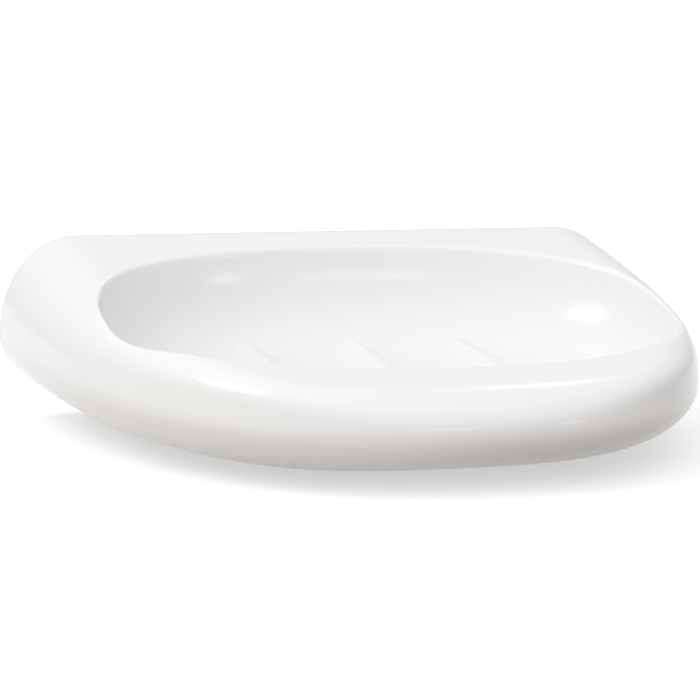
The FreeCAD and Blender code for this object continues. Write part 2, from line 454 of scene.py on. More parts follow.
def quarter(share, power):
    """Run and rise at a share of a quarter turn."""
    angle = share * math.pi / 2
    reach = (np.cos(angle) ** power + np.sin(angle) ** power) ** (-1 / power)
    return 1 - reach * np.cos(angle), reach * np.sin(angle)


rings = []
for step in range(FLANK_STEPS, 0, -1):
    run, drop = quarter(step / FLANK_STEPS, FLANK_POWER)
    width, depth = HALF_WIDTH - TUCK_SIDE * run, DEPTH - TUCK_FRONT * run
    x, y = on_spokes(reach_of(wall_oval(width, depth, between(BELLY_POWER, BASE_POWER, run))))
    rings.append((x, y, (BELLY_HEIGHT + BELLY_SLOPE * y) * (1 - drop)))
print(len(rings), "rings up the flank")

# %% [markdown]
# The lip is the edge between the top and the basin's wall. Many models look cut with a knife there. A bevel
# could round it, but would leave uneven faces on such a slanted edge. Here the corner is found by search
# first, a point is taken a little way off on each side, and the next cell draws a short curve between them.

# %% Corner of the lip
LIP_OUT = 1.6
LIP_DOWN = 1.8
CLEARANCE = 1e-6


def wall_run(drop):
    """Share of the wall's run at a share of its drop."""
    return 1 - (1 - drop ** WALL_POWER) ** (1 / WALL_POWER)


def wall_ring(drop):
    reach = basin_reach(spokes, wall_run(drop))
    x, y = on_spokes(reach)
    return reach, x, y, bowl_height(drop, y)


def wall_stands_clear(drop):
    _, x, y, z = wall_ring(drop)
    return z > top_height(x, y) + CLEARANCE


corner_drop = search(wall_stands_clear, np.zeros_like(spokes), np.ones_like(spokes))
corner_reach, *corner = wall_ring(corner_drop)
lip_reach = corner_reach + LIP_OUT
lip_x, lip_y = on_spokes(lip_reach)
lip_start = (lip_x, lip_y, top_height(lip_x, lip_y))
lip_drop = corner_drop + LIP_DOWN / (BACK_HEIGHT - FLOOR_HEIGHT)
lip_end = wall_ring(lip_drop)[1:]
print("lip between", round(float(corner[2].min()), 1), "and", round(float(corner[2].max()), 1), "mm")

# %% [markdown]
# From the belly the rings climb over the shoulder to the lip, close together where the roll is tight and
# wider apart on the flat. Then each spoke turns over the corner on a curve with three points, which leaves
# the top and joins the wall without a kink and catches a thin light, as thick glaze does.

# %% Top and lip
TOP_STEPS = 36
LIP_STEPS = 8

belly_reach = reach_of(shoulder_ring(0.0))
for step in range(TOP_STEPS):
    inward_share = 1 - math.cos(math.pi / 2 * step / TOP_STEPS)
    x, y = on_spokes(between(belly_reach, lip_reach, inward_share))
    rings.append((x, y, top_height(x, y)))
for step in range(LIP_STEPS + 1):
    share = step / LIP_STEPS
    weights = ((1 - share) ** 2, 2 * share * (1 - share), share ** 2)
    bend = list(zip(weights, (lip_start, corner, lip_end)))
    rings.append(tuple(sum(weight * point[axis] for weight, point in bend) for axis in range(3)))
print(len(rings), "rings to below the lip")

# %% [markdown]
# Under the lip the rings run on down the basin's wall, to where the floor begins. Faces then join each ring
# to the next one. The smallest ring of all, under the dish, is closed by one flat face.

# %% Basin wall
WALL_STEPS = 26

lip_angle = np.arctan2(lip_drop, 1 - wall_run(lip_drop))
floor_angle = math.atan2(rounded(FLOOR_RUN, WALL_POWER), 1 - FLOOR_RUN)
for step in range(1, WALL_STEPS + 1):
    angle = between(lip_angle, floor_angle, step / WALL_STEPS)
    run, _ = quarter(angle / (math.pi / 2), WALL_POWER)
    x, y = on_spokes(basin_reach(spokes, run))
    rings.append((x, y, floor_with_ribs(x, y)))

points = [np.column_stack(ring) for ring in rings]
ring_size = len(spokes)
faces = [tuple(range(ring_size - 1, -1, -1))]
for level in range(len(rings) - 1):
    first, second = level * ring_size, (level + 1) * ring_size
    for spoke in range(ring_size):
        following = (spoke + 1) % ring_size
        faces.append((first + spoke, first + following, second + following, second + spoke))
print(len(rings), "rings,", len(faces), "faces")

# %% [markdown]
# On the floor the rings give way to columns, from the back of the basin to its front. Rings that shrink to a
# point would pinch the reflections in the middle, and would cross the ribs at every angle. Columns run along
# the ribs. Where they end at the sides, a face with two corners in one place becomes a triangle.

# %% Basin floor
FLOOR_ROWS = 72

inner = (len(rings) - 1) * ring_size
total = len(rings) * ring_size
last = len(columns) - 1
shares = np.linspace(0, 1, FLOOR_ROWS + 1)[1:-1]
lines = [[inner] * (FLOOR_ROWS + 1)]
for column in range(1, last):
    y = BASIN_CENTRE + back_edge[column] * (1 - 2 * shares)
    x = np.full_like(y, columns[column])
    points.append(np.column_stack((x, y, floor_with_ribs(x, y))))
    lines.append([inner + column, *range(total, total + len(y)), inner + ring_size - column])
    total += len(y)
lines.append([inner + last] * (FLOOR_ROWS + 1))
for left, right in zip(lines, lines[1:]):
    for row in range(FLOOR_ROWS):
        corners = (left[row], right[row], right[row + 1], left[row + 1])
        faces.append(tuple(dict.fromkeys(corners)))
print(total, "points,", len(faces), "faces")

# %% [markdown]
# A few tools turn points into pieces. Meshes could be built by Blender's menu commands, but those depend on
# what is selected. A bmesh takes points and faces straight from the script. Most pieces are lofted, which
# joins a row of outlines by faces.

# %% Piece helpers
def new_piece(name, work):
    """Turns a bmesh into an object with its faces the right way round."""
    bmesh.ops.recalc_face_normals(work, faces=work.faces[:])
    mesh = bpy.data.meshes.new(name)
    work.to_mesh(mesh)
    work.free()
    piece = bpy.data.objects.new(name, mesh)
    bpy.context.scene.collection.objects.link(piece)
    return piece


def loft(work, sections, hollow=False):
    """Joins outlines, in millimetres, by faces. The first and last are closed, or joined to each other."""
    made = [[work.verts.new(np.array(spot) * MM) for spot in section] for section in sections]
    pairs = list(zip(made, made[1:]))
    if hollow:
        pairs.append((made[-1], made[0]))
    else:
        work.faces.new(made[0][::-1])
        work.faces.new(made[-1])
    for lower, upper in pairs:
        for index in range(len(lower)):
            following = (index + 1) % len(lower)
            work.faces.new((lower[index], lower[following], upper[following], upper[index]))


def block(name, low_outline, high_outline):
    """A piece between two outlines."""
    work = bmesh.new()
    loft(work, (low_outline, high_outline))
    return new_piece(name, work)


print("piece helpers ready")

# %% [markdown]
# A piece can be cut with another one, which is thrown away. When it is done it is dressed: it gets its
# finish and the body that it moves with, and the CAD node that it stands for is hidden.

# %% Cutting and dressing
SHARP_FROM = math.radians(35)


def cut_away(piece, cutter):
    """Takes a cutter's room out of a piece and throws the cutter away."""
    step = piece.modifiers.new("cut", "BOOLEAN")
    step.operation = "DIFFERENCE"
    step.solver = "EXACT"
    step.object = cutter
    graph = bpy.context.evaluated_depsgraph_get()
    result = bpy.data.meshes.new_from_object(piece.evaluated_get(graph))
    piece.modifiers.clear()
    piece.data = result
    bpy.data.objects.remove(cutter)


def dress(piece, finish, body, node):
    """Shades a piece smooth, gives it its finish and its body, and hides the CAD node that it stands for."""
    piece.data.shade_smooth()
    piece.data.set_sharp_from_angle(angle=SHARP_FROM)
    piece.data.materials.clear()
    piece.data.materials.append(finish)
    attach(piece, body)
    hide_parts(node)
    print(piece.name, "has", len(piece.data.polygons), "faces")


print("edges stay sharp from", round(math.degrees(SHARP_FROM)), "degrees")

# %% [markdown]
# The points so far make a whole egg that runs on behind the wall. A plane cuts it off there and the cut is
# closed, just as the real dish is ground flat after firing. A boolean with a big block would do the same, but
# a plane is exact and leaves one clean face.

# %% Dish
SNAP = 1e-8

work = bmesh.new()
frame_points = np.concatenate(points) * MM
frame_points[:, 2] += UNDERSIDE * MM
corners = [work.verts.new(point) for point in frame_points]
for face in faces:
    work.faces.new([corners[index] for index in face])
everything = work.verts[:] + work.edges[:] + work.faces[:]
cut = bmesh.ops.bisect_plane(
    work, geom=everything, dist=SNAP, plane_co=(0, 0, 0), plane_no=(0, 1, 0), clear_outer=True
)
rim = [item for item in cut["geom_cut"] if isinstance(item, bmesh.types.BMEdge)]
bmesh.ops.edgenet_fill(work, edges=rim)
dish = new_piece("dish_glazed", work)
print("dish mesh:", len(dish.data.vertices), "points")

# %% [markdown]
# Behind, the dish has a pocket that hides the bracket, and a hole from below for the brass bush. Both could
# be built into the rings, at the price of a tangled mesh. Cutters are simpler: a block with rounded blind
# edges, as clay leaves its mould, and a plain cylinder.

# %% Pocket and bush hole
POCKET_CORNER, CORNER_SEGMENTS, ROUND_PROFILE = 3.0, 6, 0.5
OVERRUN = 5.0
HOLE_RADIUS, HOLE_SEGMENTS = 3.55, 64
HOLE_SETBACK = 7.5
HOLE_LENGTH = 2 * (POCKET_FLOOR - UNDERSIDE + OVERRUN / 2)


def pocket_side(x):
    return [
        (x, OVERRUN, POCKET_FLOOR),
        (x, -POCKET_LOW_DEPTH, POCKET_FLOOR),
        (x, -POCKET_HIGH_DEPTH, POCKET_ROOF),
        (x, OVERRUN, POCKET_ROOF),
    ]


work = bmesh.new()
loft(work, (pocket_side(POCKET_HALF_WIDTH), pocket_side(-POCKET_HALF_WIDTH)))
blind = [edge for edge in work.edges if all(corner.co.y < 0 for corner in edge.verts)]
bmesh.ops.bevel(
    work, geom=blind, affect="EDGES",
    offset=POCKET_CORNER * MM, segments=CORNER_SEGMENTS, profile=ROUND_PROFILE,
)
cut_away(dish, new_piece("pocket_cutter", work))

work = bmesh.new()
bmesh.ops.create_cone(
    work, cap_ends=True, segments=HOLE_SEGMENTS,
    radius1=HOLE_RADIUS * MM, radius2=HOLE_RADIUS * MM, depth=HOLE_LENGTH * MM,
)
bmesh.ops.translate(work, verts=work.verts[:], vec=(0, -HOLE_SETBACK * MM, UNDERSIDE * MM))
cut_away(dish, new_piece("hole_cutter", work))
dress(dish, glaze, "dish_body", "dish")

# %% [markdown]
# The hardware is turned on a lathe, so the script has a lathe too: a row of rings along an axis, joined by
# faces. A thread could be made with the Screw modifier, but that leaves a loose ribbon. Here it is part of
# the turned body. The radius of each ring changes round the turn, and the change moves on by one pitch with
# every full turn, which is all that a helix is.

# %% Lathe and thread
TURN_STEPS = 48
turn_angles = np.linspace(0, 2 * math.pi, TURN_STEPS, endpoint=False)


def turned(name, rows, axis=None, hollow=False):
    """A piece from rows of a radius and a place along the axis, which runs into the wall or upright."""
    sections = []
    for radius, along in rows:
        side = radius * np.cos(turn_angles)
        other = radius * np.sin(turn_angles)
        along = np.full(TURN_STEPS, along)
        if axis is None:
            sections.append(np.column_stack((side, along, other)))
        else:
            sections.append(np.column_stack((side, other, along)) + np.array(axis))
    work = bmesh.new()
    loft(work, sections, hollow)
    return new_piece(name, work)


def thread(places, core, depth, pitch, flank):
    """Rows of a core with a ridge that winds round it. The flank is half the ridge's share of a pitch."""
    rows = []
    for along in places:
        phase = (along / pitch - turn_angles / (2 * math.pi)) % 1
        ridge = np.clip(1 - np.abs(phase - 0.5) / flank, 0, 1)
        rows.append((core + depth * ridge, along))
    return rows


print("lathe ready,", TURN_STEPS, "steps to a turn")

# %% [markdown]
# Screws, washers and plugs come in pairs, one at each end of the bracket. A second object could share the
# mesh, but the CAD model counts the pair as one node, so the pair is one piece with two copies in it. No two
# screws stop at the same angle, so the second copy may be turned.

# %% Pairs
SCREW_PLACE = 22.0


def at_both_screws(blank, name, second_turn=0.0):
    """A piece with a copy of a blank at each screw. The blank is used up."""
    work = bmesh.new()
    for side, angle in ((-1, 0.0), (1, second_turn)):
        before = len(work.verts)
        work.from_mesh(blank.data)
        work.verts.ensure_lookup_table()
        fresh = work.verts[before:]
        spin = Matrix.Rotation(math.radians(angle), 3, "Y")
        bmesh.ops.rotate(work, verts=fresh, cent=(0, 0, 0), matrix=spin)
        bmesh.ops.translate(work, verts=fresh, vec=(side * SCREW_PLACE * MM, 0, 0))
    bpy.data.objects.remove(blank)
    return new_piece(name, work)


print("screws stand", 2 * SCREW_PLACE, "mm apart")

# %% [markdown]
# Metal finishes share one recipe: light and dark drifts, and a grain that follows the way the metal was
# rolled or turned, which is noise on a stretched place. A bare Metallic of 1 looks like a toy's chrome. The
# recipe gives drifts and grain as one value, called shine, and each finish adds its own colours and wear.

# %% Metal recipe
DRIFT_SCALE, GRAIN_SHARE = 160.0, 0.5
SHINE_POLISH, WEAR_POLISH = 0.12, 0.10
ALL_ROUND = (1, 1, 1)


def off_axis(place, centre, keep):
    """Distance from an axis through a centre. Keep leaves out the direction that the axis runs in."""
    return place.vectors("SUBTRACT", centre).vectors("MULTIPLY", keep).vectors("LENGTH", out="Value")


def from_screw(place):
    """Distance from the axis of the nearer wall screw."""
    return off_axis(place.vectors("ABSOLUTE"), (SCREW_PLACE * MM, 0, 0), (1, 0, 1))


def worn(distance, start, end):
    """Mask of wear that grows between two distances in millimetres."""
    return ramp(distance, start * MM, end * MM)


def metal(name, stretch, grain_scale, depth):
    """A metal with drifts and grain: its material, its shader, the place on it and its shine."""
    material, shader, place = new_finish(name)
    grain = noise(place.vectors("MULTIPLY", stretch), grain_scale, FINE)
    drift = ramp(noise(place, DRIFT_SCALE, FINE), *SOFT_SPAN)
    shader.inputs["Metallic"].default_value = 1.0
    relief(shader, grain, depth)
    return material, shader, place, between(drift, ramp(grain, *WIDE_SPAN), GRAIN_SHARE)


print("metal recipe ready")

# %% [markdown]
# The bracket is bent from zinc-plated sheet. It could be modelled again here, but its shape in the CAD model
# is already right, bends and slots included. So it stays and only gets a finish: streaks along the sheet from
# rolling, and the cloudy spangle of the plating, which is a pattern of cells.

# %% Bracket
ZINC_DULL, ZINC_BRIGHT = (0.47, 0.48, 0.51, 1), (0.70, 0.71, 0.73, 1)
SHEET_STREAK = (0.06, 1, 1)
SHEET_GRAIN, SHEET_RELIEF = 2400.0, 0.02
SPANGLE_SCALE, FLAKE_SHARE, ZINC_ROUGH = 420.0, 0.45, 0.50

zinc, shader, place, shine = metal("zinc_sheet", SHEET_STREAK, SHEET_GRAIN, SHEET_RELIEF)
cells = {"Vector": place, "Scale": SPANGLE_SCALE}
flakes = place.node("ShaderNodeTexVoronoi", {"feature": "F1"}, cells, out="Color")
flake = place.node("ShaderNodeSeparateColor", {}, {0: flakes})
feed(shader, "Base Color", mix(between(shine, flake, FLAKE_SHARE), ZINC_DULL, ZINC_BRIGHT))
feed(shader, "Roughness", ZINC_ROUGH - SHINE_POLISH * shine - WEAR_POLISH * flake)
bracket = nodes["wall_bracket"]
bracket.data.materials.clear()
bracket.data.materials.append(zinc)
print("bracket has a finish of", len(zinc.node_tree.nodes), "nodes")

# %% [markdown]
# The two wall screws hold everything up. Each has a pan head, a thread with a sharp ridge and a point. A
# smooth pin would do where a screw is hidden, but these show as soon as the dish comes off. The head is a
# quarter round and the shank is a thread that tapers over its last turns.

# %% Wall screws
HEAD_TOP, SEAT, SCREW_END = -4.7, -2.3, 37.7
HEAD_RADIUS, HEAD_ROUND, HEAD_STEPS = 3.8, 1.2, 9
CROWN_RADIUS, CROWN = 1.5, 0.02
RIM_IN, RIM_UP = 0.12, 0.15
NECK_OUT, NECK_DOWN = 0.5, 0.4
CORE_RADIUS, THREAD_DEPTH, SCREW_PITCH, RIDGE_FLANK = 1.35, 0.60, 1.8, 0.30
POINT_LENGTH, POINT_RADIUS = 5.0, 0.12
THREAD_START, SCREW_STEP = SEAT + 0.6, 0.18

rows = [(POINT_RADIUS, HEAD_TOP - CROWN), (CROWN_RADIUS, HEAD_TOP - CROWN / 2)]
for angle in np.linspace(0, math.pi / 2, HEAD_STEPS):
    out = HEAD_RADIUS - HEAD_ROUND + HEAD_ROUND * math.sin(angle)
    rows.append((out, HEAD_TOP + HEAD_ROUND - HEAD_ROUND * math.cos(angle)))
rows += [(HEAD_RADIUS, SEAT - RIM_UP), (HEAD_RADIUS - RIM_IN, SEAT)]
rows += [(CORE_RADIUS + NECK_OUT, SEAT), (CORE_RADIUS, SEAT + NECK_DOWN)]
shank = np.arange(THREAD_START, SCREW_END, SCREW_STEP)
for radius, along in thread(shank, CORE_RADIUS, THREAD_DEPTH, SCREW_PITCH, RIDGE_FLANK):
    taper = min(1.0, (SCREW_END - along) / POINT_LENGTH)
    rows.append((np.maximum(radius * taper, POINT_RADIUS), along))
screw = turned("screw_blank", rows)
print("screw turned from", len(rows), "rings")

# %% [markdown]
# A cross recess narrows as it goes in, so its cutter is a block between a large cross and a small one. The
# screws are yellowish steel, worn bright along the ridge of the thread and on the head.

# %% Recess and screw finish
RECESS_MOUTH, RECESS_FLOOR, RECESS_DEPTH = (2.2, 0.45), (1.3, 0.35), 1.3
MOUTH_CLEAR = 0.1
SECOND_SCREW_TURN = 27.0
SCREW_DULL, SCREW_BRIGHT = (0.50, 0.47, 0.40, 1), (0.76, 0.74, 0.68, 1)
SCREW_GRAIN, FINE_RELIEF = 1800.0, 0.01
SCREW_WEAR, SCREW_WORN, SCREW_ROUGH = (1.75, 1.95), 0.4, 0.45


def cross(size, along):
    """Outline of a cross with arms of a given reach and half width."""
    reach, half = size
    corner = [(half, reach), (-half, reach), (-half, half), (-reach, half), (-reach, -half), (-half, -half)]
    return [(x, along, z) for x, z in corner + [(-x, -z) for x, z in corner]]


mouth, bottom = cross(RECESS_MOUTH, HEAD_TOP - MOUTH_CLEAR), cross(RECESS_FLOOR, HEAD_TOP + RECESS_DEPTH)
cut_away(screw, block("recess_cutter", mouth, bottom))
screws = at_both_screws(screw, "wall_screws_threaded", SECOND_SCREW_TURN)
screw_steel, shader, place, shine = metal("screw_steel", ALL_ROUND, SCREW_GRAIN, FINE_RELIEF)
rubbed = worn(from_screw(place), *SCREW_WEAR)
feed(shader, "Base Color", mix(between(shine, rubbed, SCREW_WORN), SCREW_DULL, SCREW_BRIGHT))
feed(shader, "Roughness", SCREW_ROUGH - SHINE_POLISH * shine - WEAR_POLISH * rubbed)
dress(screws, screw_steel, "wall_fixing", "wall_screws")

# %% [markdown]
# A plain washer under each head spreads the load over the slot. A ring with square edges would look like a
# drawing, because a stamped washer is never sharp all round: one side has a soft edge from the punch and the
# other a small burr. So the two corners get different chamfers, and the rim is worn bright.

# %% Washers
WASHER_HOLE, WASHER_RIM = 2.25, 4.8
WASHER_FRONT, WASHER_BACK = -2.3, -1.5
SOFT_EDGE, BURR_EDGE = 0.22, 0.08
WASHER_DULL, WASHER_BRIGHT = (0.52, 0.53, 0.55, 1), (0.76, 0.77, 0.78, 1)
WASHER_GRAIN = 2600.0
WASHER_WEAR, WASHER_WORN, WASHER_ROUGH = (4.55, 4.75), 0.3, 0.40

rows = [
    (WASHER_HOLE + SOFT_EDGE, WASHER_FRONT),
    (WASHER_RIM - SOFT_EDGE, WASHER_FRONT),
    (WASHER_RIM - SOFT_EDGE / 3, WASHER_FRONT + SOFT_EDGE / 3),
    (WASHER_RIM, WASHER_FRONT + SOFT_EDGE),
    (WASHER_RIM, WASHER_BACK - BURR_EDGE),
    (WASHER_RIM - BURR_EDGE, WASHER_BACK),
    (WASHER_HOLE + BURR_EDGE, WASHER_BACK),
    (WASHER_HOLE, WASHER_BACK - BURR_EDGE),
    (WASHER_HOLE, WASHER_FRONT + SOFT_EDGE),
    (WASHER_HOLE + SOFT_EDGE / 3, WASHER_FRONT + SOFT_EDGE / 3),
]
washers = at_both_screws(turned("washer_blank", rows, hollow=True), "screw_washers_stamped")
washer_steel, shader, place, shine = metal("washer_steel", ALL_ROUND, WASHER_GRAIN, FINE_RELIEF)
worn_rim = worn(from_screw(place), *WASHER_WEAR)
feed(shader, "Base Color", mix(between(shine, worn_rim, WASHER_WORN), WASHER_DULL, WASHER_BRIGHT))
feed(shader, "Roughness", WASHER_ROUGH - SHINE_POLISH * shine)
dress(washers, washer_steel, "wall_fixing", "screw_washers")

# %% [markdown]
# Each screw bites into a nylon plug in the wall, and rings of barbs stop the plug from sliding out. They
# could be rings on a tube, but a moulded plug is one piece, so they are teeth in the lathe's profile.

# %% Wall plugs
PLUG_START, PLUG_END = 8.0, 38.0
PLUG_RADIUS, PLUG_VALLEY, PLUG_BORE, NOSE_RADIUS = 3.0, 2.62, 2.1, 2.45
COLLAR_END, BARBS_END, BARB_COUNT = 11.0, 34.4, 9
PLUG_EDGE = 0.2
BARB_PROFILE = ((PLUG_VALLEY, 0.10), (PLUG_RADIUS - 0.05, 0.18), (PLUG_RADIUS, 0.28), (PLUG_VALLEY, 0.98))
NOSE_START = (PLUG_RADIUS - 0.15, BARBS_END + 0.6)
NOSE_IN, NOSE_BACK = 0.12, 0.15
BORE_OUT, BORE_BACK = 0.05, 0.1

rows = [(PLUG_BORE + PLUG_EDGE, PLUG_START), (PLUG_RADIUS - PLUG_EDGE, PLUG_START)]
rows += [(PLUG_RADIUS, PLUG_START + PLUG_EDGE), (PLUG_RADIUS, COLLAR_END - PLUG_EDGE)]
rows.append((PLUG_VALLEY, COLLAR_END))
barb = (BARBS_END - COLLAR_END) / BARB_COUNT
for number in range(BARB_COUNT):
    foot = COLLAR_END + number * barb
    rows += [(radius, foot + share * barb) for radius, share in BARB_PROFILE]
rows += [NOSE_START, (NOSE_RADIUS, PLUG_END - NOSE_BACK), (NOSE_RADIUS - NOSE_IN, PLUG_END)]
rows += [(PLUG_BORE + BORE_OUT, PLUG_END), (PLUG_BORE, PLUG_END - BORE_BACK)]
rows.append((PLUG_BORE, PLUG_START + PLUG_EDGE))
plug = turned("plug_blank", rows, hollow=True)
print("plug turned with", BARB_COUNT, "barbs")

# %% [markdown]
# A slit lets the plug spread when the screw goes in. It is cut right through, from the middle to the nose.
# Nylon is a dull grey plastic with faint flow lines along the plug, from the way it filled the mould.

# %% Slit and nylon
SLIT_START, SLIT_HALF, SLIT_CLEAR = 18.0, 0.5, 1.0
NYLON_PALE, NYLON_DEEP = (0.56, 0.57, 0.56, 1), (0.44, 0.45, 0.45, 1)
FLOW_STRETCH, FLOW_SCALE, CLOUD_SCALE = (1, 0.2, 1), 900.0, 240.0
CLOUD_SHARE, NYLON_ROUGH, CLOUD_ROUGH, MOULD_RELIEF = 0.5, 0.42, 0.2, 0.02


def slit_end(along):
    reach = PLUG_RADIUS + SLIT_CLEAR
    sides = ((-reach, -SLIT_HALF), (reach, -SLIT_HALF), (reach, SLIT_HALF), (-reach, SLIT_HALF))
    return [(x, along, z) for x, z in sides]


cut_away(plug, block("slit_cutter", slit_end(SLIT_START), slit_end(PLUG_END + SLIT_CLEAR)))
plugs = at_both_screws(plug, "wall_plugs_barbed")
nylon, shader, place = new_finish("nylon")
flow = noise(place.vectors("MULTIPLY", FLOW_STRETCH), FLOW_SCALE, FINE)
cloud = noise(place, CLOUD_SCALE)
shade = ramp(between(flow, cloud, CLOUD_SHARE), *SOFT_SPAN)
feed(shader, "Base Color", mix(shade, NYLON_PALE, NYLON_DEEP))
feed(shader, "Roughness", NYLON_ROUGH + CLOUD_ROUGH * cloud)
relief(shader, flow, MOULD_RELIEF)
dress(plugs, nylon, "wall_fixing", "wall_plugs")

# %% [markdown]
# A brass bush is cemented into the dish's underside, because clay can't hold a thread. It has a collar above,
# grooves outside for the cement and a thread inside, of which the last turns show at its mouth. A tube with a
# painted thread would give itself away there, so the bore is a real thread with the same pitch as its screw.

# %% Lock bush
BUSH_LOW, BUSH_HIGH, COLLAR_HIGH = -17.9, -11.5, -10.7
BUSH_RADIUS, COLLAR_RADIUS, MOUTH_RADIUS = 3.5, 4.0, 2.6
BUSH_CHAMFER, COLLAR_LOW_EDGE, COLLAR_HIGH_EDGE = 0.25, 0.1, 0.15
GROOVES, GROOVE_RADIUS, GROOVE_HALF = (-16.2, -14.4, -12.9), 3.25, 0.35
LOCK_PITCH, LOCK_FLANK = 0.7, 0.45
BORE_RADIUS, BORE_DEPTH, BORE_MARGIN = 2.08, 0.32, 0.3
BORE_STEP = LOCK_PITCH / 8
LOCK_AXIS = (0, -HOLE_SETBACK, 0)

rows = [(MOUTH_RADIUS, BUSH_LOW), (BUSH_RADIUS - BUSH_CHAMFER, BUSH_LOW)]
rows.append((BUSH_RADIUS, BUSH_LOW + BUSH_CHAMFER))
for groove in GROOVES:
    rows += [
        (BUSH_RADIUS, groove - GROOVE_HALF),
        (GROOVE_RADIUS, groove - GROOVE_HALF / 2),
        (GROOVE_RADIUS, groove + GROOVE_HALF / 2),
        (BUSH_RADIUS, groove + GROOVE_HALF),
    ]
rows += [(BUSH_RADIUS, BUSH_HIGH), (COLLAR_RADIUS - COLLAR_LOW_EDGE, BUSH_HIGH)]
rows += [(COLLAR_RADIUS, BUSH_HIGH + COLLAR_LOW_EDGE), (COLLAR_RADIUS, COLLAR_HIGH - COLLAR_HIGH_EDGE)]
rows += [(COLLAR_RADIUS - COLLAR_HIGH_EDGE, COLLAR_HIGH), (MOUTH_RADIUS, COLLAR_HIGH)]
bore = np.arange(COLLAR_HIGH - BORE_MARGIN, BUSH_LOW + BORE_MARGIN, -BORE_STEP)
rows += thread(bore, BORE_RADIUS, BORE_DEPTH, LOCK_PITCH, LOCK_FLANK)
bush = turned("lock_bush_turned", rows, LOCK_AXIS, hollow=True)
print("bush turned from", len(rows), "rings")

# %% [markdown]
# Brass that has been on a lathe keeps fine rings round its axis. Noise that is squeezed along the axis and
# stretched across it gives just that.

# %% Brass
BRASS_DULL, BRASS_BRIGHT = (0.50, 0.36, 0.15, 1), (0.80, 0.62, 0.30, 1)
TURNED_RINGS, BRASS_GRAIN, BRASS_ROUGH = (0.05, 0.05, 1), 5200.0, 0.38

brass, shader, _, shine = metal("brass", TURNED_RINGS, BRASS_GRAIN, FINE_RELIEF)
feed(shader, "Base Color", mix(shine, BRASS_DULL, BRASS_BRIGHT))
feed(shader, "Roughness", BRASS_ROUGH - SHINE_POLISH * shine)
dress(bush, brass, "dish_body", "lock_bush")

# %% [markdown]
# The lock screw is a grub screw: all thread, with a cup point above that grips the bracket. The thread could
# end square, but a real one starts under a chamfer, so the radius is held down near both ends.

# %% Lock screw
LOCK_LOW, LOCK_HIGH = -17.1, -9.1
LOCK_CORE, LOCK_DEPTH, LOCK_RADIUS = 1.62, 0.36, 1.98
LOCK_CHAMFER, CUP_RADIUS, CUP_DEPTH, TIP = 0.5, 1.3, 0.8, 0.05

rows = [(TIP, LOCK_LOW), (LOCK_RADIUS - LOCK_CHAMFER, LOCK_LOW)]
grip = np.arange(LOCK_LOW + BORE_STEP, LOCK_HIGH - BORE_STEP / 2, BORE_STEP)
for radius, along in thread(grip, LOCK_CORE, LOCK_DEPTH, LOCK_PITCH, LOCK_FLANK):
    room = LOCK_RADIUS - LOCK_CHAMFER + min(along - LOCK_LOW, LOCK_HIGH - along)
    rows.append((np.minimum(radius, room), along))
rows += [(LOCK_RADIUS - LOCK_CHAMFER, LOCK_HIGH), (CUP_RADIUS, LOCK_HIGH), (TIP, LOCK_HIGH - CUP_DEPTH)]
grub = turned("lock_screw_threaded", rows, LOCK_AXIS)
print("lock screw turned from", len(rows), "rings")

# %% [markdown]
# Below, the lock screw has a hexagon socket for the key. It is blackened steel, and the black rubs off along
# the crest of the thread, but not evenly: the wear is broken up by the metal's own drifts.

# %% Socket and black steel
KEY_ACROSS, KEY_DEPTH, KEY_CLEAR = 2.0, 2.5, 1.0
KEY_RADIUS = KEY_ACROSS / math.sqrt(3)
BLACK_DULL, BLACK_BRIGHT = (0.035, 0.035, 0.038, 1), (0.09, 0.09, 0.095, 1)
RUBBED_STEEL, BLACK_GRAIN = (0.42, 0.42, 0.43, 1), 2200.0
LOCK_WEAR, LOCK_WORN, BLACK_ROUGH = (1.88, 1.98), 0.6, 0.46


def hexagon(height):
    corners = []
    for angle in np.radians(np.arange(0, 360, 60)):
        corners.append((KEY_RADIUS * math.cos(angle), KEY_RADIUS * math.sin(angle) - HOLE_SETBACK, height))
    return corners


cut_away(grub, block("key_cutter", hexagon(LOCK_LOW - KEY_CLEAR), hexagon(LOCK_LOW + KEY_DEPTH)))
black_steel, shader, place, shine = metal("black_steel", ALL_ROUND, BLACK_GRAIN, FINE_RELIEF)
crest = off_axis(place, (0, -HOLE_SETBACK * MM, 0), (1, 1, 0))
rubbed = worn(crest, *LOCK_WEAR) * ramp(shine, *SOFT_SPAN)
blackened = mix(shine, BLACK_DULL, BLACK_BRIGHT)
feed(shader, "Base Color", mix(LOCK_WORN * rubbed, blackened, RUBBED_STEEL))
feed(shader, "Roughness", BLACK_ROUGH - SHINE_POLISH * shine)
dress(grub, black_steel, "lock_body", "lock_screw")

# %% [markdown]
# Two rubber strips lie on the bracket's upper flange, so that clay never grinds on steel. They are cut from a
# grooved strip. The grooves could be a relief in the material, but they show against the light, so they are
# in the outline: two rounded corners, a wave between them, and a flat sole.

# %% Outline of the strips
STRIP_ROUND, STRIP_GROOVES, GROOVE_DEPTH, SOLE_EDGE = 0.25, 3, 0.22, 0.1
CORNER_STEPS, CROWN_STEPS = 6, 37
strip_low, strip_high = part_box("rubber_strips")
STRIP_FOOT, STRIP_TOP = strip_low.z / MM, strip_high.z / MM
half_depth = (strip_high.y - strip_low.y) / MM / 2
middle_depth = (strip_high.y + strip_low.y) / MM / 2


def strip_corner(start, side):
    """A rounded upper corner, on one side of the strip."""
    turns = np.radians(np.linspace(start, start + 90, CORNER_STEPS))
    out = side * (half_depth - STRIP_ROUND) + STRIP_ROUND * np.cos(turns)
    return list(zip(out, STRIP_TOP - STRIP_ROUND + STRIP_ROUND * np.sin(turns)))


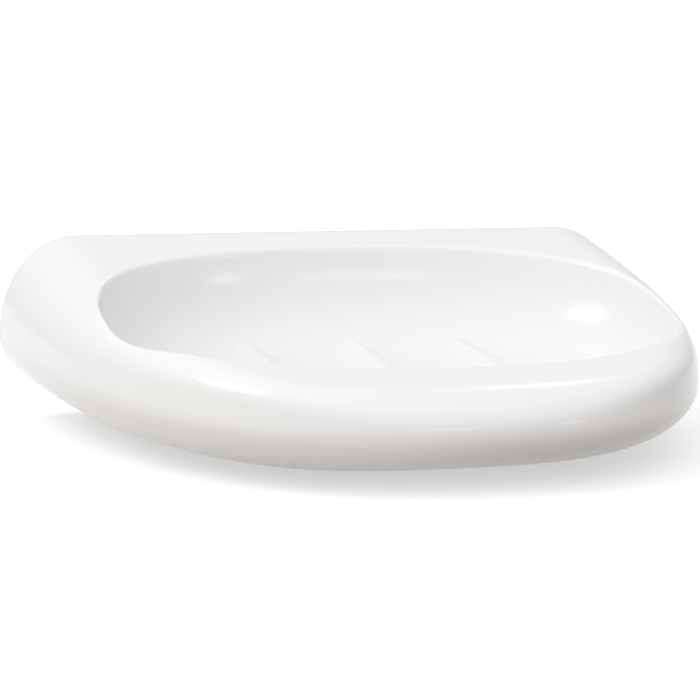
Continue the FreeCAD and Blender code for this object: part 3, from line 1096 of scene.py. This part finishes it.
crown = np.linspace(half_depth - STRIP_ROUND, STRIP_ROUND - half_depth, CROWN_STEPS)[1:-1]
wave = np.sin(np.linspace(0, STRIP_GROOVES * math.pi, CROWN_STEPS)[1:-1]) ** 2
sole = [(SOLE_EDGE - half_depth, STRIP_FOOT), (half_depth - SOLE_EDGE, STRIP_FOOT)]
ridges = list(zip(crown, STRIP_TOP - GROOVE_DEPTH * wave))
outline = strip_corner(0, 1) + ridges + strip_corner(90, -1) + sole
print("strip outline has", len(outline), "corners")

# %% [markdown]
# The outline is drawn out along the wall, once for each strip. At the ends it shrinks a little over a few
# steps, because rubber that has been squeezed has soft ends. Rubber is nearly black, with pale dust in
# places.

# %% Rubber strips
STRIP_PLACE, STRIP_HALF, END_STEPS = 21.0, 7.0, 5
RUBBER_DEEP, RUBBER_DUSTY = (0.018, 0.018, 0.019, 1), (0.060, 0.058, 0.055, 1)
DUST_SCALE, DUST_SPAN, PORE_SCALE = 320.0, (0.4, 0.7), 3200.0
RUBBER_ROUGH, DUST_ROUGH = 0.62, 0.25

turns = np.linspace(0, math.pi / 2, END_STEPS)
stations = list(zip(STRIP_ROUND * (1 - np.cos(turns)) - STRIP_HALF, STRIP_ROUND * (1 - np.sin(turns))))
stations += [(-along, inset) for along, inset in stations[::-1]]
strip_middle = (STRIP_TOP + STRIP_FOOT) / 2


def strip_section(x, inset):
    """The outline at one station, drawn in by an inset."""
    section = []
    for out, up in outline:
        height = max(STRIP_FOOT, up - inset) if up > strip_middle else up
        section.append((x, middle_depth + out * (1 - inset / half_depth), height))
    return section


work = bmesh.new()
for centre in (-STRIP_PLACE, STRIP_PLACE):
    loft(work, [strip_section(centre + along, inset) for along, inset in stations])
strips = new_piece("rubber_strips_grooved", work)
rubber, shader, place = new_finish("rubber")
dust = ramp(noise(place, DUST_SCALE, FINE), *DUST_SPAN)
feed(shader, "Base Color", mix(dust, RUBBER_DEEP, RUBBER_DUSTY))
feed(shader, "Roughness", RUBBER_ROUGH + DUST_ROUGH * dust)
relief(shader, noise(place, PORE_SCALE), MOULD_RELIEF)
dress(strips, rubber, "wall_fixing", "rubber_strips")

# %% [markdown]
# The room is plain: soft light from all round, as in a light tent, and brighter above and in front on the
# left. A picture of a studio could be wrapped round the scene, but a sum does it: how far a direction points
# to the bright side decides how much light comes from there. To the camera, and to mirrors and glass, the
# tent is plain white.

# %% Light tent
TENT_LEVEL, TENT_BRIGHT = 0.24, 1.03
TENT_SIDE = (-0.34, -0.36, 0.869)
TENT_DIM, TENT_FULL = -0.15, 0.60


def rays_seen(tree):
    """1 for the rays that make the picture: from the camera, by way of a mirror or through glass."""
    straight = Wire(tree).node("ShaderNodeLightPath", out="Is Camera Ray")
    return straight.larger(straight.also("Is Glossy Ray")).larger(straight.also("Is Transmission Ray"))


world = bpy.data.worlds.new("light tent")
bpy.context.scene.world = world
world.use_nodes = True
world.node_tree.nodes.clear()
seen = rays_seen(world.node_tree)
facing = seen.node("ShaderNodeTexCoord", out="Generated").vectors("DOT_PRODUCT", TENT_SIDE, out="Value")
light = TENT_LEVEL + TENT_BRIGHT * ramp(facing, TENT_DIM, TENT_FULL)
glow = seen.node("ShaderNodeBackground", {}, {"Strength": seen + (1 - seen) * light})
seen.node("ShaderNodeOutputWorld", {}, {"Surface": glow})
print("tent from", TENT_LEVEL, "to", round(TENT_LEVEL + TENT_BRIGHT, 2))

# %% [markdown]
# The floor is white paper to the camera, with a little glow of its own, and it keeps the shadow under the
# dish. The light that it throws up at the dish is another matter: that comes from a warm table, and from a
# brown one on the right, which gives the flank its warm shade. From below the floor is clear, so that the
# underside can be looked at.

# %% Floor
FLOOR_SIZE, FLOOR_GAP = 8.0, 0.2
FLOOR_BOUNCE, FLOOR_BROWN = (0.60, 0.565, 0.52, 1), (0.15, 0.10, 0.06, 1)
BROWN_FROM, BROWN_TO = -0.02, 0.09
FLOOR_PAPER, FLOOR_LIFT = (0.62, 0.62, 0.62, 1), 0.54

floor_finish = bpy.data.materials.new("pale floor")
floor_finish.use_nodes = True
floor_finish.node_tree.nodes.clear()
seen = rays_seen(floor_finish.node_tree)


def blend_shaders(share, first, second):
    return share.node("ShaderNodeMixShader", {}, {0: share, 1: first, 2: second})


def matt(colour):
    return seen.node("ShaderNodeBsdfDiffuse", {}, {"Color": colour})


spot = seen.node("ShaderNodeTexCoord", out="Object")
to_right = spot.node("ShaderNodeSeparateXYZ", {}, {0: spot}, out="X")
table = blend_shaders(ramp(to_right, BROWN_FROM, BROWN_TO), matt(FLOOR_BOUNCE), matt(FLOOR_BROWN))
lift = seen.node("ShaderNodeEmission", {}, {"Color": (1, 1, 1, 1), "Strength": FLOOR_LIFT})
paper = seen.node("ShaderNodeAddShader", {}, {0: matt(FLOOR_PAPER), 1: lift})
below = seen.node("ShaderNodeNewGeometry", out="Backfacing")
clear = seen.node("ShaderNodeBsdfTransparent")
surface = blend_shaders(below, blend_shaders(seen, table, paper), clear)
seen.node("ShaderNodeOutputMaterial", {}, {"Surface": surface})

work = bmesh.new()
bmesh.ops.create_grid(work, x_segments=1, y_segments=1, size=FLOOR_SIZE)
floor = new_piece("floor", work)
floor.location.z = dish_low.z - FLOOR_GAP * MM
floor.data.materials.append(floor_finish)
print("floor", FLOOR_GAP, "mm under the dish")

# %% [markdown]
# Four soft lamps draw the highlights on the glaze: a large one high on the left, two low strips in front and
# a small one high behind on the right. Square lamps would do, but their corners would show in the gloss, so
# these are round. Each is set by its direction and by how bright its face looks.

# %% Lamps
LAMP_AIM = Vector((0, -0.055, 0.005))
LAMPS = {
    "key box": (-86, 46, 0.80, (0.34, 0.52), 2.2),
    "front strip": (12, 10, 1.0, (0.42, 0.15), 1.4),
    "side strip": (40, 6, 1.0, (0.18, 0.15), 2.3),
    "back box": (148.5, 39.5, 0.8, (0.045, 0.03), 10.0),
}
for name, (turn, rise, distance, size, brightness) in LAMPS.items():
    lamp = bpy.data.lights.new(name, "AREA")
    lamp.shape = "ELLIPSE"
    lamp.size, lamp.size_y = size
    lamp.energy = brightness * math.pi * size[0] * size[1]
    stand(name, lamp, LAMP_AIM, math.radians(turn), math.radians(rise), distance)
bpy.context.scene.view_settings.view_transform = "Standard"
print(len(LAMPS), "lamps in place")
